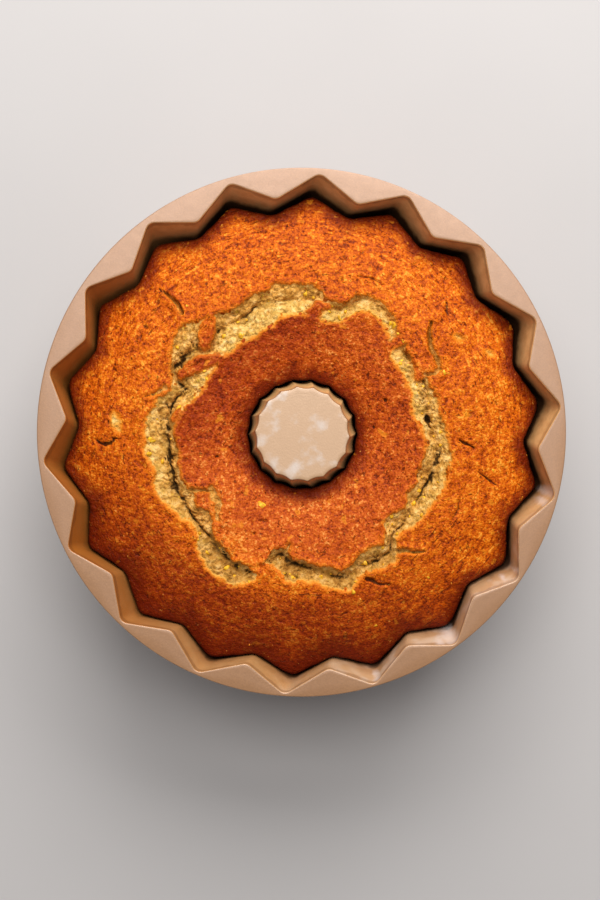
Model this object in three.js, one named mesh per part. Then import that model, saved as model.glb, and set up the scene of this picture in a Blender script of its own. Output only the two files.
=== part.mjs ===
// A ring-shaped (bundt) pistachio cake, just baked, in its fluted cast-aluminium tube pan.
// Millimetres, +Z up. The origin is on the resting plane, under the centre of the pan's round rim.
//
// Two pieces: the pan (a flanged zigzag wall, a flat foot ring, a crown floor and a closed
// centre tube, one casting) and the cake, a ring that fills the pan to just under its rim.
import * as THREE from 'three';

// ---------------------------------------------------------------- driving dimensions
const RIM_R = 128.0;            // outer radius of the round rim
const HEIGHT = 98.0;            // pan height, foot to rim; the tube is as tall
const WALL = 3.1;               // casting thickness
const RIM_T = 3.1;              // rim thickness at its edge
const EDGE = 0.7;               // rounding of the rim's and the tube's edges
const FLUTES = 18;              // zigzag flutes round the wall, and scallops round the tube
const PHASE = 3.9;              // bearing of the first outward corner at the rim, degrees
const SKEW = -0.3;              // the inward corners lie this far off the middle between two outward ones, degrees
const CAVITY_AT = [0.40, -0.85]; // the cavity's axis from the rim's centre: the rim is trimmed a little off it
const CORNER = 0.11;            // rounding of a flute's corners, as a share of its side

// Wall of the cavity, from the rim down: depth, radius at the outward and the inward corners.
const WALL_AT = [
  [0.0, 126.3, 114.0], [18, 121.1, 110.4], [32, 116.8, 107.0], [46, 111.8, 102.6], [58, 106.2, 97.8],
  [69, 99.4, 92.2], [79, 91.0, 85.4], [87, 82.0, 78.2], [92.5, 74.0, 71.8],
];
// The floor of the cavity is flat between these radii, so the foot under it is a flat ring.
const FLOOR_AT = [[67.5, 66.3], [54.8, 55.4]];
// Tube, from the floor up: depth, radius at its valleys and at its cusps.
const TUBE_AT = [[90, 46.2, 47.8], [80, 39.4, 41.0], [62, 33.2, 34.8], [38, 28.6, 30.1], [13, 24.6, 25.9]];
const TUBE_TOP = [22.2, 23.2];  // at the top edge

// The swirl: how far the flutes turn, in degrees, by the depth below the rim.
const WALL_TURN = (d) => -(0.05 * d + 0.002 * d * d);
const TUBE_TURN = (d) => -(0.262 * d - 0.00023 * d * d);

// Cake: the baked top's height under the rim by radius, a dome with its crest near mid-ring.
const DOME = [[24, 14.2], [28, 10.6], [36, 7.0], [46, 4.4], [57, 2.7], [68, 2.0], [79, 2.9],
  [90, 5.4], [100, 8.8], [108, 12.4], [115, 16.2], [121, 20.0]];
const GAP_LOW = 0.4;            // between cake and pan, low down
const GAP_TOP = 1.9;            // and at the wall's top, where the cake has shrunk away
const GAP_TUBE = 1.3;           // and at the top beside the tube
const LEAN = [0.0, -1.0];       // the shrunken top lies a little to one side of the pan
// The split round the top: radii of its outer and inner edges, as short harmonic sums of the bearing.
const SPLIT_OUT = [72.65, -2.79, -2.01, 0.57, -0.71, 0.68, 0.21, -0.14, 0.62, -0.52, 0.73, -1.63, -0.44];
const SPLIT_IN = [59.51, -4.81, 0.9, 1.4, 2.29, 0.67, 1.88, -0.22, 0.74, -0.28, 0.11, -2.1, -1.02];
const SPLIT_DEEP = 7.0;         // depth of the split under the crust

// ---------------------------------------------------------------- helpers
const rad = (d) => d * Math.PI / 180;
// x, y of a point at a radius and a bearing, clockwise from +Y
const at = (r, bearing) => [r * Math.sin(rad(bearing)), r * Math.cos(rad(bearing))];

function interpolate(table, x, column = 1) {
  if (x <= table[0][0]) return table[0][column];
  for (let i = 1; i < table.length; i++) {
    const [a, b] = [table[i - 1], table[i]];
    if (x <= b[0]) return a[column] + (b[column] - a[column]) * (x - a[0]) / (b[0] - a[0]);
  }
  return table[table.length - 1][column];
}

function harmonics(c, bearing) {
  let v = c[0];
  for (let j = 1; j < c.length; j += 2) {
    const a = rad(bearing) * (j + 1) / 2;
    v += c[j] * Math.cos(a) + c[j + 1] * Math.sin(a);
  }
  return v;
}

// One fluted ring: corners by turns at radius rOut and rIn, joined by straight sides, each corner
// cut back to two points. 4 points a flute.
function flutedRing(rOut, rIn, turn, z) {
  const corners = [];
  for (let k = 0; k < FLUTES; k++) {
    const b = PHASE + turn + k * 360 / FLUTES;
    corners.push(at(rOut, b), at(rIn, b + 180 / FLUTES + SKEW));
  }
  const ring = [];
  const mix = (p, q, t) => [p[0] + (q[0] - p[0]) * t, p[1] + (q[1] - p[1]) * t];
  corners.forEach((c, i) => {
    const before = corners[(i + corners.length - 1) % corners.length];
    const after = corners[(i + 1) % corners.length];
    for (const p of [mix(c, before, CORNER), mix(c, after, CORNER)]) {
      ring.push([p[0] + CAVITY_AT[0], p[1] + CAVITY_AT[1], z]);
    }
  });
  return ring;
}

// A round ring about the rim's centre, its points evenly spaced and paired with a fluted ring's.
function roundRing(r, z) {
  const step = 90 / FLUTES;
  return Array.from({ length: 4 * FLUTES }, (_, i) => [...at(r, PHASE + (i - 0.5) * step), z]);
}

// A ring kept within a radius of the rim's centre.
const within = (ring, r) => ring.map(([x, y, z]) => {
  const k = Math.min(1, r / Math.hypot(x, y));
  return [x * k, y * k, z];
});

// A closed skin over rings of equal count. With loop, the last ring joins the first;
// otherwise both ends close on a point at the middle of their ring.
function skin(rings, loop, name, material) {
  const n = rings[0].length;
  const position = rings.flat(2);
  const index = [];
  const quad = (a, b, i) => {
    const j = (i + 1) % n;
    index.push(a * n + i, b * n + i, b * n + j, a * n + i, b * n + j, a * n + j);
  };
  for (let k = 0; k + 1 < rings.length; k++) for (let i = 0; i < n; i++) quad(k, k + 1, i);
  if (loop) {
    for (let i = 0; i < n; i++) quad(rings.length - 1, 0, i);
  } else {
    for (const [k, flip] of [[0, false], [rings.length - 1, true]]) {
      const centre = position.length / 3;
      position.push(CAVITY_AT[0], CAVITY_AT[1], rings[k][0][2]);
      for (let i = 0; i < n; i++) {
        const [p, q] = [k * n + i, k * n + (i + 1) % n];
        index.push(...(flip ? [centre, q, p] : [centre, p, q]));
      }
    }
  }
  // point the faces outwards
  let volume = 0;
  const v = (i) => new THREE.Vector3().fromArray(position, 3 * i);
  for (let t = 0; t < index.length; t += 3) {
    volume += v(index[t]).dot(v(index[t + 1]).cross(v(index[t + 2])));
  }
  if (volume < 0) for (let t = 0; t < index.length; t += 3) [index[t], index[t + 1]] = [index[t + 1], index[t]];
  const geometry = new THREE.BufferGeometry();
  geometry.setAttribute('position', new THREE.Float32BufferAttribute(position, 3));
  geometry.setIndex(index);
  geometry.computeVertexNormals();
  const mesh = new THREE.Mesh(geometry, material);
  mesh.name = name;
  return mesh;
}

// ---------------------------------------------------------------- the cavity's profile
// Stations from the tube's top, down the tube, across the floor and up the wall.
// a and b are the radii at the wall's outward and inward bearings.
const stations = [];
stations.push({ a: TUBE_TOP[0], b: TUBE_TOP[1], z: HEIGHT - EDGE, turn: 0 });
for (const [d, a, b] of [...TUBE_AT].reverse()) stations.push({ a, b, z: HEIGHT - d, turn: TUBE_TURN(d) });
const floorTurn = (TUBE_TURN(HEIGHT - WALL) + WALL_TURN(HEIGHT - WALL)) / 2;
const [floorOut, floorIn] = FLOOR_AT;
stations.push({ a: floorIn[0], b: floorIn[1], z: WALL, turn: floorTurn });
stations.push({ a: (floorIn[0] + floorOut[0]) / 2, b: (floorIn[1] + floorOut[1]) / 2, z: WALL, turn: floorTurn });
stations.push({ a: floorOut[0], b: floorOut[1], z: WALL, turn: floorTurn });
for (const [d, a, b] of [...WALL_AT].reverse()) {
  stations.push({ a, b, z: HEIGHT - Math.max(d, EDGE), turn: WALL_TURN(d) });
}

// The same stations moved by a distance across the profile, away from the cavity (+) or into it (-).
function moved(i, distance) {
  const mean = (s) => (s.a + s.b) / 2;
  const s = stations[i];
  const p = stations[Math.max(0, i - 1)];
  const q = stations[Math.min(stations.length - 1, i + 1)];
  let [dr, dz] = [mean(q) - mean(p), q.z - p.z];
  if (s.z === WALL) [dr, dz] = [1, 0];           // the floor stays flat
  const l = Math.hypot(dr, dz);
  const [nr, nz] = [dz / l, -dr / l];            // away from the cavity
  return { a: s.a + nr * distance, b: s.b + nr * distance, z: s.z + nz * distance, turn: s.turn };
}
const ringOf = (s) => flutedRing(s.a, s.b, s.turn, s.z);

// ---------------------------------------------------------------- pan
function makePan(material) {
  const rings = [];
  const last = stations.length - 1;
  // inside: tube top, tube, floor, wall
  rings.push(flutedRing(TUBE_TOP[0] - EDGE, TUBE_TOP[1] - EDGE, 0, HEIGHT));
  stations.forEach((s) => rings.push(ringOf(s)));
  // rim: its inner edge, flat top and round outer edge
  const inner = flutedRing(WALL_AT[0][1] + EDGE * 0.6, WALL_AT[0][2] + EDGE * 0.6, 0, HEIGHT);
  rings.push(inner);
  rings.push(roundRing(RIM_R - EDGE * 0.6, HEIGHT));
  rings.push(roundRing(RIM_R, HEIGHT - EDGE));
  rings.push(roundRing(RIM_R, HEIGHT - RIM_T + EDGE));
  rings.push(roundRing(RIM_R - EDGE * 0.6, HEIGHT - RIM_T));
  // outside: from under the rim down the wall. The outward corners stay inside the rim.
  const under = { a: RIM_R - 0.9, b: WALL_AT[0][2] + WALL, z: HEIGHT - RIM_T, turn: WALL_TURN(RIM_T) };
  rings.push(within(ringOf(under), RIM_R - 0.8));
  for (let i = last - 1; i >= 1; i--) rings.push(ringOf(moved(i, WALL)));
  // hollow under the tube, closed by the tube's top
  rings.push(flutedRing(TUBE_TOP[0] - WALL, TUBE_TOP[1] - WALL, 0, HEIGHT - WALL));
  return skin(rings, false, 'pan', material);
}

// ---------------------------------------------------------------- cake
function makeCake(material) {
  const rings = [];
  const domeZ = (r) => HEIGHT - interpolate(DOME, r);
  const gap = (z) => GAP_LOW + (GAP_TOP - GAP_LOW) * Math.min(1, Math.max(0, (z - (HEIGHT - 45)) / 30));
  // sides and underside: the cavity's own profile, moved in by the gap, up to where the top begins
  const topTube = 15.0;                           // depth of the cake's edge at the tube
  const topWall = 17.5;                           // and at the wall
  const last = stations.length - 1;
  const tubeEdge = { a: 24.9, b: 26.2, z: HEIGHT - topTube, turn: TUBE_TURN(topTube) };
  const side = (s, g) => ({ a: s.a + g, b: s.b + g, z: s.z, turn: s.turn });
  rings.push(ringOf(side(tubeEdge, GAP_TUBE)));
  for (let i = 2; i < last - 1; i++) rings.push(ringOf(moved(i, -gap(stations[i].z))));
  const wallEdge = {
    a: interpolate(WALL_AT, topWall + 1.5, 1), b: interpolate(WALL_AT, topWall - 2, 2),
    z: HEIGHT - topWall, turn: WALL_TURN(topWall),
  };
  const outer = ringOf(side(wallEdge, -GAP_TOP));
  // the edge follows the dome, so it is lower in the flutes' corners
  const radius = ([x, y]) => Math.hypot(x - CAVITY_AT[0], y - CAVITY_AT[1]);
  const edge = outer.map(([x, y]) => [x + LEAN[0], y + LEAN[1], domeZ(radius([x, y])) - 1.2]);
  rings.push(edge);
  // top: shrunk copies of the zigzag edge, fading to the split's edges, then to the tube's
  const bearing = ([x, y]) => Math.atan2(x - CAVITY_AT[0], y - CAVITY_AT[1]) * 180 / Math.PI;
  const topRing = (radiusAt, drop) => edge.map((p) => {
    const b = bearing(p);
    const r = radiusAt(b, radius(p));
    const [x, y] = at(r, b);
    return [x + CAVITY_AT[0], y + CAVITY_AT[1], domeZ(r) - drop];
  });
  const out = (b) => harmonics(SPLIT_OUT, b);
  const inn = (b) => harmonics(SPLIT_IN, b);
  rings.push(topRing((b, r) => r - 2.2, 0));
  rings.push(topRing((b, r) => r * 0.55 + 0.45 * 98, 0));
  rings.push(topRing((b, r) => r * 0.2 + 0.8 * 88, 0));
  rings.push(topRing((b) => out(b) + 0.8, 0));
  rings.push(topRing((b) => out(b) - 0.8, 1.8));
  rings.push(topRing((b) => 0.55 * out(b) + 0.45 * inn(b), SPLIT_DEEP));
  rings.push(topRing((b) => inn(b) + 1.2, 2.2));
  rings.push(topRing((b) => inn(b) - 0.8, 0));
  rings.push(topRing(() => 44, 0));
  rings.push(topRing(() => 34, 0));
  rings.push(topRing(() => 29.5, 0.4));
  // the tube's side reads from its own ring, so the last loop closes on it
  return skin(rings, true, 'cake', material);
}

const object = new THREE.Group();
object.add(makePan(new THREE.MeshStandardMaterial({ color: 0xc79b78, roughness: 0.45, metalness: 0.6 })));
object.add(makeCake(new THREE.MeshStandardMaterial({ color: 0xb5622a, roughness: 0.85, metalness: 0.0 })));

export default object;
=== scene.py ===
# A pistachio bundt cake, just baked, in its fluted tube pan, seen from straight above.
# Everything is worked out in millimetres and written to the meshes in metres.
import math
import bpy
import numpy as np
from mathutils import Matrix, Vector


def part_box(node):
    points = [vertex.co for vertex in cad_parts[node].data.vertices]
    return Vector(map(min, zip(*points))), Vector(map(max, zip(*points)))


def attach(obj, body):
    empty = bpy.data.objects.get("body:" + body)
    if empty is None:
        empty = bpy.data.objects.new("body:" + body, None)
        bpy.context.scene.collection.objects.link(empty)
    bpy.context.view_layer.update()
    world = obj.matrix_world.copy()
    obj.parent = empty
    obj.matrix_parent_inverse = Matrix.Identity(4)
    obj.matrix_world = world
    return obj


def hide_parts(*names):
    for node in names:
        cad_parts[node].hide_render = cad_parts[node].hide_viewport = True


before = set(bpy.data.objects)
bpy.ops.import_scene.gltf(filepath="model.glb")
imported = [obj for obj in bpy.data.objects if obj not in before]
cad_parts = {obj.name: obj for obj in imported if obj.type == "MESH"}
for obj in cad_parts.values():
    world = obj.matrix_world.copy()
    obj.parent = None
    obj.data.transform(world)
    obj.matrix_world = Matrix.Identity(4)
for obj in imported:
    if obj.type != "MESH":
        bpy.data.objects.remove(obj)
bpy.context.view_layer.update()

pan_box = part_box("pan")

# ------------------------------------------------------------------ sizes, as in part.mjs
H = pan_box[1][2] * 1000.0          # rim height
RIM_R = 128.0
WALL = 3.1
RIM_T = 3.1
FLUTES = 18
PHASE = 3.9
SKEW = -0.3
AX = np.array([0.40, -0.85])        # the cavity's axis
WALL_AT = [(0.0, 126.3, 114.0), (18, 121.1, 110.4), (32, 116.8, 107.0), (46, 111.8, 102.6), (58, 106.2, 97.8),
           (69, 99.4, 92.2), (79, 91.0, 85.4), (87, 82.0, 78.2), (92.5, 74.0, 71.8)]
FLOOR_AT = [(67.5, 66.3), (54.8, 55.4)]
TUBE_AT = [(90, 46.2, 47.8), (80, 39.4, 41.0), (62, 33.2, 34.8), (38, 28.6, 30.1), (13, 24.6, 25.9)]
TUBE_TOP = (22.2, 23.2)
DOME = np.array([(20, 17.0), (24, 14.2), (28, 10.6), (36, 7.0), (46, 4.4), (57, 2.7), (68, 2.0), (79, 2.9),
                 (90, 5.4), (100, 8.8), (108, 12.4), (115, 16.2), (121, 20.0), (126, 24.0)], float)


def wall_turn(d):
    return -(0.05 * d + 0.002 * d * d)


def tube_turn(d):
    return -(0.262 * d - 0.00023 * d * d)


# ------------------------------------------------------------------ numeric helpers
def pchip(xs, ys, x):
    """Monotone cubic through the points, flat beyond the ends."""
    xs = np.asarray(xs, float)
    ys = np.asarray(ys, float)
    x = np.clip(x, xs[0], xs[-1])
    h = np.diff(xs)
    m = np.diff(ys) / h
    d = np.zeros_like(ys)
    same = m[:-1] * m[1:] > 0
    w1, w2 = 2 * h[1:] + h[:-1], h[1:] + 2 * h[:-1]
    with np.errstate(divide="ignore", invalid="ignore"):
        inner = (w1 + w2) / (w1 / m[:-1] + w2 / m[1:])
    d[1:-1] = np.where(same, inner, 0.0)
    d[0], d[-1] = m[0], m[-1]
    i = np.clip(np.searchsorted(xs, x, side="right") - 1, 0, len(h) - 1)
    t = (x - xs[i]) / h[i]
    return ((1 + 2 * t) * (1 - t) ** 2 * ys[i] + t * (1 - t) ** 2 * h[i] * d[i]
            + t * t * (3 - 2 * t) * ys[i + 1] + t * t * (t - 1) * h[i] * d[i + 1])


def smooth(x, a=0.0, b=1.0):
    t = np.clip((x - a) / (b - a), 0.0, 1.0)
    return t * t * (3 - 2 * t)


def rnd(ix, iy, seed):
    """A repeatable random number from 0 to 1 at whole-number places."""
    a = ix.astype(np.int64).astype(np.uint64)
    b = iy.astype(np.int64).astype(np.uint64)
    m = np.uint64(0xFFFFFFFF)
    h = (a * np.uint64(374761393) + b * np.uint64(668265263) + np.uint64(seed * 974711 + 12345)) & m
    h = ((h ^ (h >> np.uint64(13))) * np.uint64(1274126177)) & m
    h = ((h ^ (h >> np.uint64(15))) * np.uint64(2246822519)) & m
    h = h ^ (h >> np.uint64(16))
    return (h & np.uint64(0xFFFFFF)).astype(float) / 16777216.0


def perlin(x, y, size, seed=0):
    """Gradient noise, about -1 to 1, with features of about that size."""
    x = x / size
    y = y / size
    xi, yi = np.floor(x), np.floor(y)
    xf, yf = x - xi, y - yi
    u = xf ** 3 * (xf * (xf * 6 - 15) + 10)
    v = yf ** 3 * (yf * (yf * 6 - 15) + 10)

    def g(dx, dy):
        a = 2 * np.pi * rnd(xi + dx, yi + dy, seed)
        return np.cos(a) * (xf - dx) + np.sin(a) * (yf - dy)

    top = g(0, 0) * (1 - u) + g(1, 0) * u
    low = g(0, 1) * (1 - u) + g(1, 1) * u
    return 1.6 * (top * (1 - v) + low * v)


def fbm(x, y, size, octaves=3, seed=0, gain=0.5):
    total, amp, norm = 0.0, 1.0, 0.0
    for k in range(octaves):
        total = total + amp * perlin(x + 13.7 * k, y - 7.3 * k, size / 2 ** k, seed + 31 * k)
        norm += amp
        amp *= gain
    return total / norm


def cells(x, y, size, seed=0):
    """Distance to the nearest and to the second nearest scattered point, in cell sizes, and the nearest one's random number."""
    x = x / size
    y = y / size
    xi, yi = np.floor(x), np.floor(y)
    f1 = np.full(x.shape, 9.0)
    f2 = np.full(x.shape, 9.0)
    pick = np.zeros(x.shape)
    for dx in (-1, 0, 1):
        for dy in (-1, 0, 1):
            cx, cy = xi + dx, yi + dy
            px = cx + 0.1 + 0.8 * rnd(cx, cy, seed)
            py = cy + 0.1 + 0.8 * rnd(cx, cy, seed + 5)
            d = np.hypot(x - px, y - py)
            near = d < f1
            f2 = np.where(near, f1, np.minimum(f2, d))
            pick = np.where(near, rnd(cx, cy, seed + 9), pick)
            f1 = np.where(near, d, f1)
    return f1, f2, pick


def polar(r, bearing):
    a = np.radians(bearing)
    return np.array([r * np.sin(a), r * np.cos(a)])


# ------------------------------------------------------------------ the cavity's profile, tube top to rim
def profile():
    rows = [(TUBE_TOP[0], TUBE_TOP[1], H - 0.7, 0.0)]
    for d, a, b in reversed(TUBE_AT):
        rows.append((a, b, H - d, tube_turn(d)))
    turn = (tube_turn(H - WALL) + wall_turn(H - WALL)) / 2
    (oa, ob), (ia, ib) = FLOOR_AT
    rows.append((ia, ib, WALL, turn))
    rows.append(((ia + oa) / 2, (ib + ob) / 2, WALL, turn))
    rows.append((oa, ob, WALL, turn))
    for d, a, b in reversed(WALL_AT):
        rows.append((a, b, H - max(d, 0.7), wall_turn(d)))
    return np.array(rows, float)


PROFILE = profile()
_mean = (PROFILE[:, 0] + PROFILE[:, 1]) / 2
ARC = np.concatenate([[0], np.cumsum(np.hypot(np.diff(_mean), np.diff(PROFILE[:, 2])))])


def along(s):
    """a, b, z, turn of the cavity's surface at those lengths along its profile."""
    return np.stack([pchip(ARC, PROFILE[:, k], s) for k in range(4)], axis=-1)


def normal_at(s):
    """The profile's unit normal, away from the cavity, as (dr, dz)."""
    p, q = along(s - 0.4), along(s + 0.4)
    dr = ((q[..., 0] + q[..., 1]) - (p[..., 0] + p[..., 1])) / 2
    dz = q[..., 2] - p[..., 2]
    n = np.hypot(dr, dz)
    return dz / n, -dr / n


FLOOR_S = ARC[7]                     # middle of the floor


def fluted(a, b, turn, n_side=12, fa=0.09, fb=0.09):
    """x, y round one fluted ring about the cavity's axis: corners at radius a and b by turns, straight sides,
    each corner rounded over the share fa or fb of its side."""
    k = np.arange(FLUTES)
    ca = polar(a, PHASE + turn + 20.0 * k).T
    cb = polar(b, PHASE + turn + 20.0 * k + 10 + SKEW).T
    corners = np.empty((2 * FLUTES, 2))
    corners[0::2], corners[1::2] = ca, cb
    nxt = np.roll(corners, -1, axis=0)
    prv = np.roll(corners, 1, axis=0)
    fil = np.where(np.arange(2 * FLUTES) % 2 == 0, fa, fb)
    q = n_side // 4
    out = np.empty((2 * FLUTES, n_side, 2))
    for i in range(2 * FLUTES):
        c, n, p = corners[i], nxt[i], prv[i]
        f, g = fil[i], fil[(i + 1) % (2 * FLUTES)]
        e0, e1 = c + (p - c) * f, c + (n - c) * f
        nn = nxt[(i + 1) % (2 * FLUTES)]
        g0, g1 = n + (c - n) * g, n + (nn - n) * g
        pts = []
        for t in 0.5 + 0.5 * np.arange(q) / q:
            pts.append((1 - t) ** 2 * e0 + 2 * t * (1 - t) * c + t * t * e1)
        for t in np.arange(n_side - 2 * q + 1) / (n_side - 2 * q):
            pts.append(e1 + (g0 - e1) * t)
        for t in 0.5 * np.arange(1, q) / q:
            pts.append((1 - t) ** 2 * g0 + 2 * t * (1 - t) * n + t * t * g1)
        out[i] = pts
    return out.reshape(-1, 2)


def ring_radius(a, b, turn, bearings, fa=0.09, fb=0.09):
    """The fluted ring's radius from the cavity's axis at those bearings."""
    p = fluted(a, b, turn, 24, fa, fb)
    ang = np.degrees(np.arctan2(p[:, 0], p[:, 1])) % 360
    order = np.argsort(ang)
    ang, rad = ang[order], np.hypot(p[:, 0], p[:, 1])[order]
    ang = np.concatenate([ang - 360, ang, ang + 360])
    return np.interp(np.asarray(bearings) % 360, ang, np.tile(rad, 3))


# ------------------------------------------------------------------ mesh helpers
def bridge(a0, na, b0, nb):
    """Triangles between two closed rings of points; one may have twice the other's count."""
    if na == nb:
        i = np.arange(na)
        j = (i + 1) % na
        return np.concatenate([np.stack([a0 + i, b0 + i, b0 + j], 1), np.stack([a0 + i, b0 + j, a0 + j], 1)])
    if nb == 2 * na:
        i = np.arange(na)
        j = (i + 1) % na
        f0, f1, f2 = b0 + 2 * i, b0 + 2 * i + 1, b0 + (2 * i + 2) % nb
        return np.concatenate([np.stack([a0 + i, f0, f1], 1), np.stack([a0 + i, f1, a0 + j], 1), np.stack([a0 + j, f1, f2], 1)])
    return bridge(b0, nb, a0, na)[:, ::-1]


def mesh_object(name, points, faces, attributes=None, smooth_shade=True):
    """A mesh from points in millimetres and triangles, with named float attributes on its points."""
    points = np.asarray(points, float) * 0.001
    faces = np.asarray(faces, np.int32)
    me = bpy.data.meshes.new(name)
    me.vertices.add(len(points))
    me.vertices.foreach_set("co", points.astype(np.float32).ravel())
    me.loops.add(faces.size)
    me.loops.foreach_set("vertex_index", faces.ravel())
    me.polygons.add(len(faces))
    me.polygons.foreach_set("loop_start", np.arange(0, faces.size, 3, dtype=np.int32))
    me.polygons.foreach_set("use_smooth", np.full(len(faces), smooth_shade, dtype=bool))
    me.update(calc_edges=True)
    me.validate()
    for key, values in (attributes or {}).items():
        at = me.attributes.new(key, "FLOAT", "POINT")
        at.data.foreach_set("value", np.asarray(values, np.float32))
    ob = bpy.data.objects.new(name, me)
    bpy.context.scene.collection.objects.link(ob)
    return ob


def signed_volume(points, faces):
    p = points[faces]
    return float(np.einsum("ij,ij->i", p[:, 0], np.cross(p[:, 1], p[:, 2])).sum() / 6)


def skin(rings, loop, caps=True):
    """Points and outward triangles over closed rings. With loop the last joins the first, else the ends close on a point."""
    starts, n = [], []
    at = 0
    for r in rings:
        starts.append(at)
        n.append(len(r))
        at += len(r)
    points = np.concatenate(rings)
    faces = [bridge(starts[i], n[i], starts[i + 1], n[i + 1]) for i in range(len(rings) - 1)]
    if loop:
        faces.append(bridge(starts[-1], n[-1], starts[0], n[0]))
    elif caps:
        for k, flip in ((0, False), (len(rings) - 1, True)):
            c = len(points)
            points = np.concatenate([points, rings[k].mean(axis=0)[None]])
            i = np.arange(n[k])
            j = (i + 1) % n[k]
            f = np.stack([np.full(n[k], c), starts[k] + i, starts[k] + j], 1)
            faces.append(f[:, ::-1] if flip else f)
    faces = np.concatenate(faces)
    if signed_volume(points, faces) < 0:
        faces = faces[:, ::-1]
    return points, faces


# ------------------------------------------------------------------ the pan
N_SIDE = 12


def scallop(a, b, fa):
    """Corner radius for a valley whose rounding still reaches down to radius a."""
    t = smooth(fa, 0.2, 0.85)
    return a - t * 0.95 * (b * 0.985 - a)


def pan_ring(a, b, z, turn, fa, fb):
    p = fluted(scallop(a, b, fa), b, turn, N_SIDE, fa, fb) + AX
    return np.column_stack([p, np.full(len(p), z)])


def round_ring(r, z, like):
    """A round ring about the rim's centre whose points keep the same order as the fluted one's."""
    n = len(like)
    ang = np.degrees(np.arctan2(like[:, 0] - AX[0], like[:, 1] - AX[1])) % 360
    even = (ang[0] + 360.0 * np.arange(n) / n)
    own = ang[0] + np.concatenate([[0], np.cumsum((np.diff(ang) + 180) % 360 - 180)])
    bearing = 0.35 * even + 0.65 * own
    p = polar(r, bearing).T
    return np.column_stack([p, np.full(n, z)])


def make_pan():
    rings = []
    # share of a side that each corner's rounding takes: long shallow valleys and sharp cusps on the tube
    def fillets(s):
        t = smooth(s, ARC[5], ARC[9])
        return 0.84 * (1 - t) + 0.14 * t, 0.10 * (1 - t) + 0.09 * t
    fa, fb = fillets(0.0)
    top_a, top_b = TUBE_TOP
    # flat top of the tube, a few rings so that it shades well, then its rounded edge
    for k in (0.15, 0.35, 0.6, 0.8, 0.93):
        g = (1 - k) * 0.0
        ring = pan_ring((top_a - 0.6) * k, (top_b - 0.6) * k, H, 0.0, fa, fb + g)
        rings.append(ring)
    for ang in (0, 22, 45, 68, 90):
        c, s_ = math.cos(math.radians(ang)), math.sin(math.radians(ang))
        rings.append(pan_ring(top_a - 0.6 + 0.6 * s_, top_b - 0.6 + 0.6 * s_, H - 0.6 + 0.6 * c, 0.0, fa, fb))
    # down the tube, over the floor, up the wall
    inside = np.concatenate([np.linspace(2.0, ARC[-1] - 2.0, 62)])
    for s in inside:
        a, b, z, turn = along(np.array(s))
        fa, fb = fillets(s)
        rings.append(pan_ring(a, b, z, turn, fa, fb))
    # the wall's top edge, rounded, and the flat rim
    edge = 0.6
    a0, b0 = WALL_AT[0][1], WALL_AT[0][2]
    for ang in (90, 68, 45, 22, 0):
        c, s_ = math.cos(math.radians(ang)), math.sin(math.radians(ang))
        rings.append(pan_ring(a0 + edge * (1 - s_), b0 + edge * (1 - s_), H - edge + edge * c, 0.0, 0.14, 0.09))
    like = rings[-1]
    last_flat = round_ring(RIM_R - 0.5, H, like)
    for t in (0.12, 0.5):
        rings.append(like * (1 - t) + last_flat * t)
    half = RIM_T / 2
    for ang in (0, 20, 40, 60, 80, 100, 120, 140, 160, 180):
        c, s_ = math.cos(math.radians(ang)), math.sin(math.radians(ang))
        # a softly rounded edge: round corners on a short upright
        rings.append(round_ring(RIM_R - 0.5 + 0.5 * abs(s_) ** 0.7, H - half + half * np.sign(c) * abs(c) ** 0.35, like))
    # under the rim and down the outside
    under = pan_ring(RIM_R - 1.0, b0 + WALL + 0.6, H - RIM_T, wall_turn(RIM_T), 0.1, 0.12)
    r = np.hypot(under[:, 0], under[:, 1])
    under[:, :2] *= np.minimum(1, (RIM_R - 1.0) / r)[:, None]
    rings.append(under)
    soft = pan_ring(RIM_R - 2.0, b0 + WALL - 0.3, H - RIM_T - 1.2, wall_turn(RIM_T + 1.2), 0.1, 0.12)
    r = np.hypot(soft[:, 0], soft[:, 1])
    soft[:, :2] *= np.minimum(1, (RIM_R - 1.6) / r)[:, None]
    rings.append(soft)
    for s in np.linspace(ARC[-1] - 9.0, 3.0, 58):
        a, b, z, turn = along(np.array(s))
        nr, nz = normal_at(np.array(s))
        fa, fb = fillets(s)
        rings.append(pan_ring(a + nr * WALL, b + nr * WALL, max(z + nz * WALL, 0.0), turn, max(fa, 0.14), max(fb, 0.1)))
    for k in (1.0, 0.7, 0.3):
        rings.append(pan_ring((top_a - WALL) * k, (top_b - WALL) * k, H - WALL, 0.0, 0.5, 0.3))
    points, faces = skin(rings, False)
    r = np.hypot(points[:, 0] - AX[0], points[:, 1] - AX[1])
    z = points[:, 2]
    cap = np.where((r < 22.6) & (z > H - 1.0), 1.0, 0.0)
    # 1 on the inner side of the wall, where fat and juice have been
    inner = np.zeros(len(points))
    count = len(rings[0])
    inner[10 * count:(10 + 62 + 3) * count] = 1.0
    return mesh_object("pan_shell", points, faces, {"cap": cap, "inner": inner})


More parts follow.
